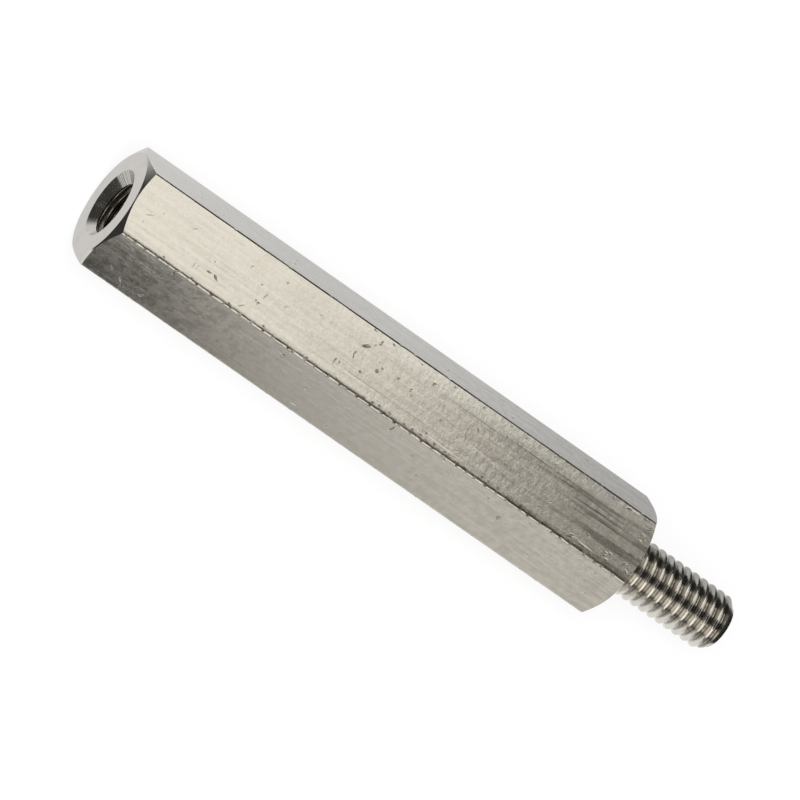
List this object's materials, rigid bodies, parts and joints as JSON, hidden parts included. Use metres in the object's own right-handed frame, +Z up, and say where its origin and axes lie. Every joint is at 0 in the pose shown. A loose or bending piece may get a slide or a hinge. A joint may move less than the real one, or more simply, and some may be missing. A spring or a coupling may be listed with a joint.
{
  "type": "hex standoff",
  "caption": "Hexagonal spacer bar with a tapped hole in one end and a threaded stud on the other.",
  "frame": {"origin": "on the axis, at the end face with the threaded hole", "axes": "+X along the axis, from the threaded hole to the stud; +Z up, with a flat of the hexagon at the bottom"},
  "size_m": [0.036, 0.0064, 0.0054],
  "materials": {
    "nickel_plated_brass": "satin"
  },
  "bodies": {
    "root": {"hex_standoff": "nickel_plated_brass"}
  },
  "joints": []
}
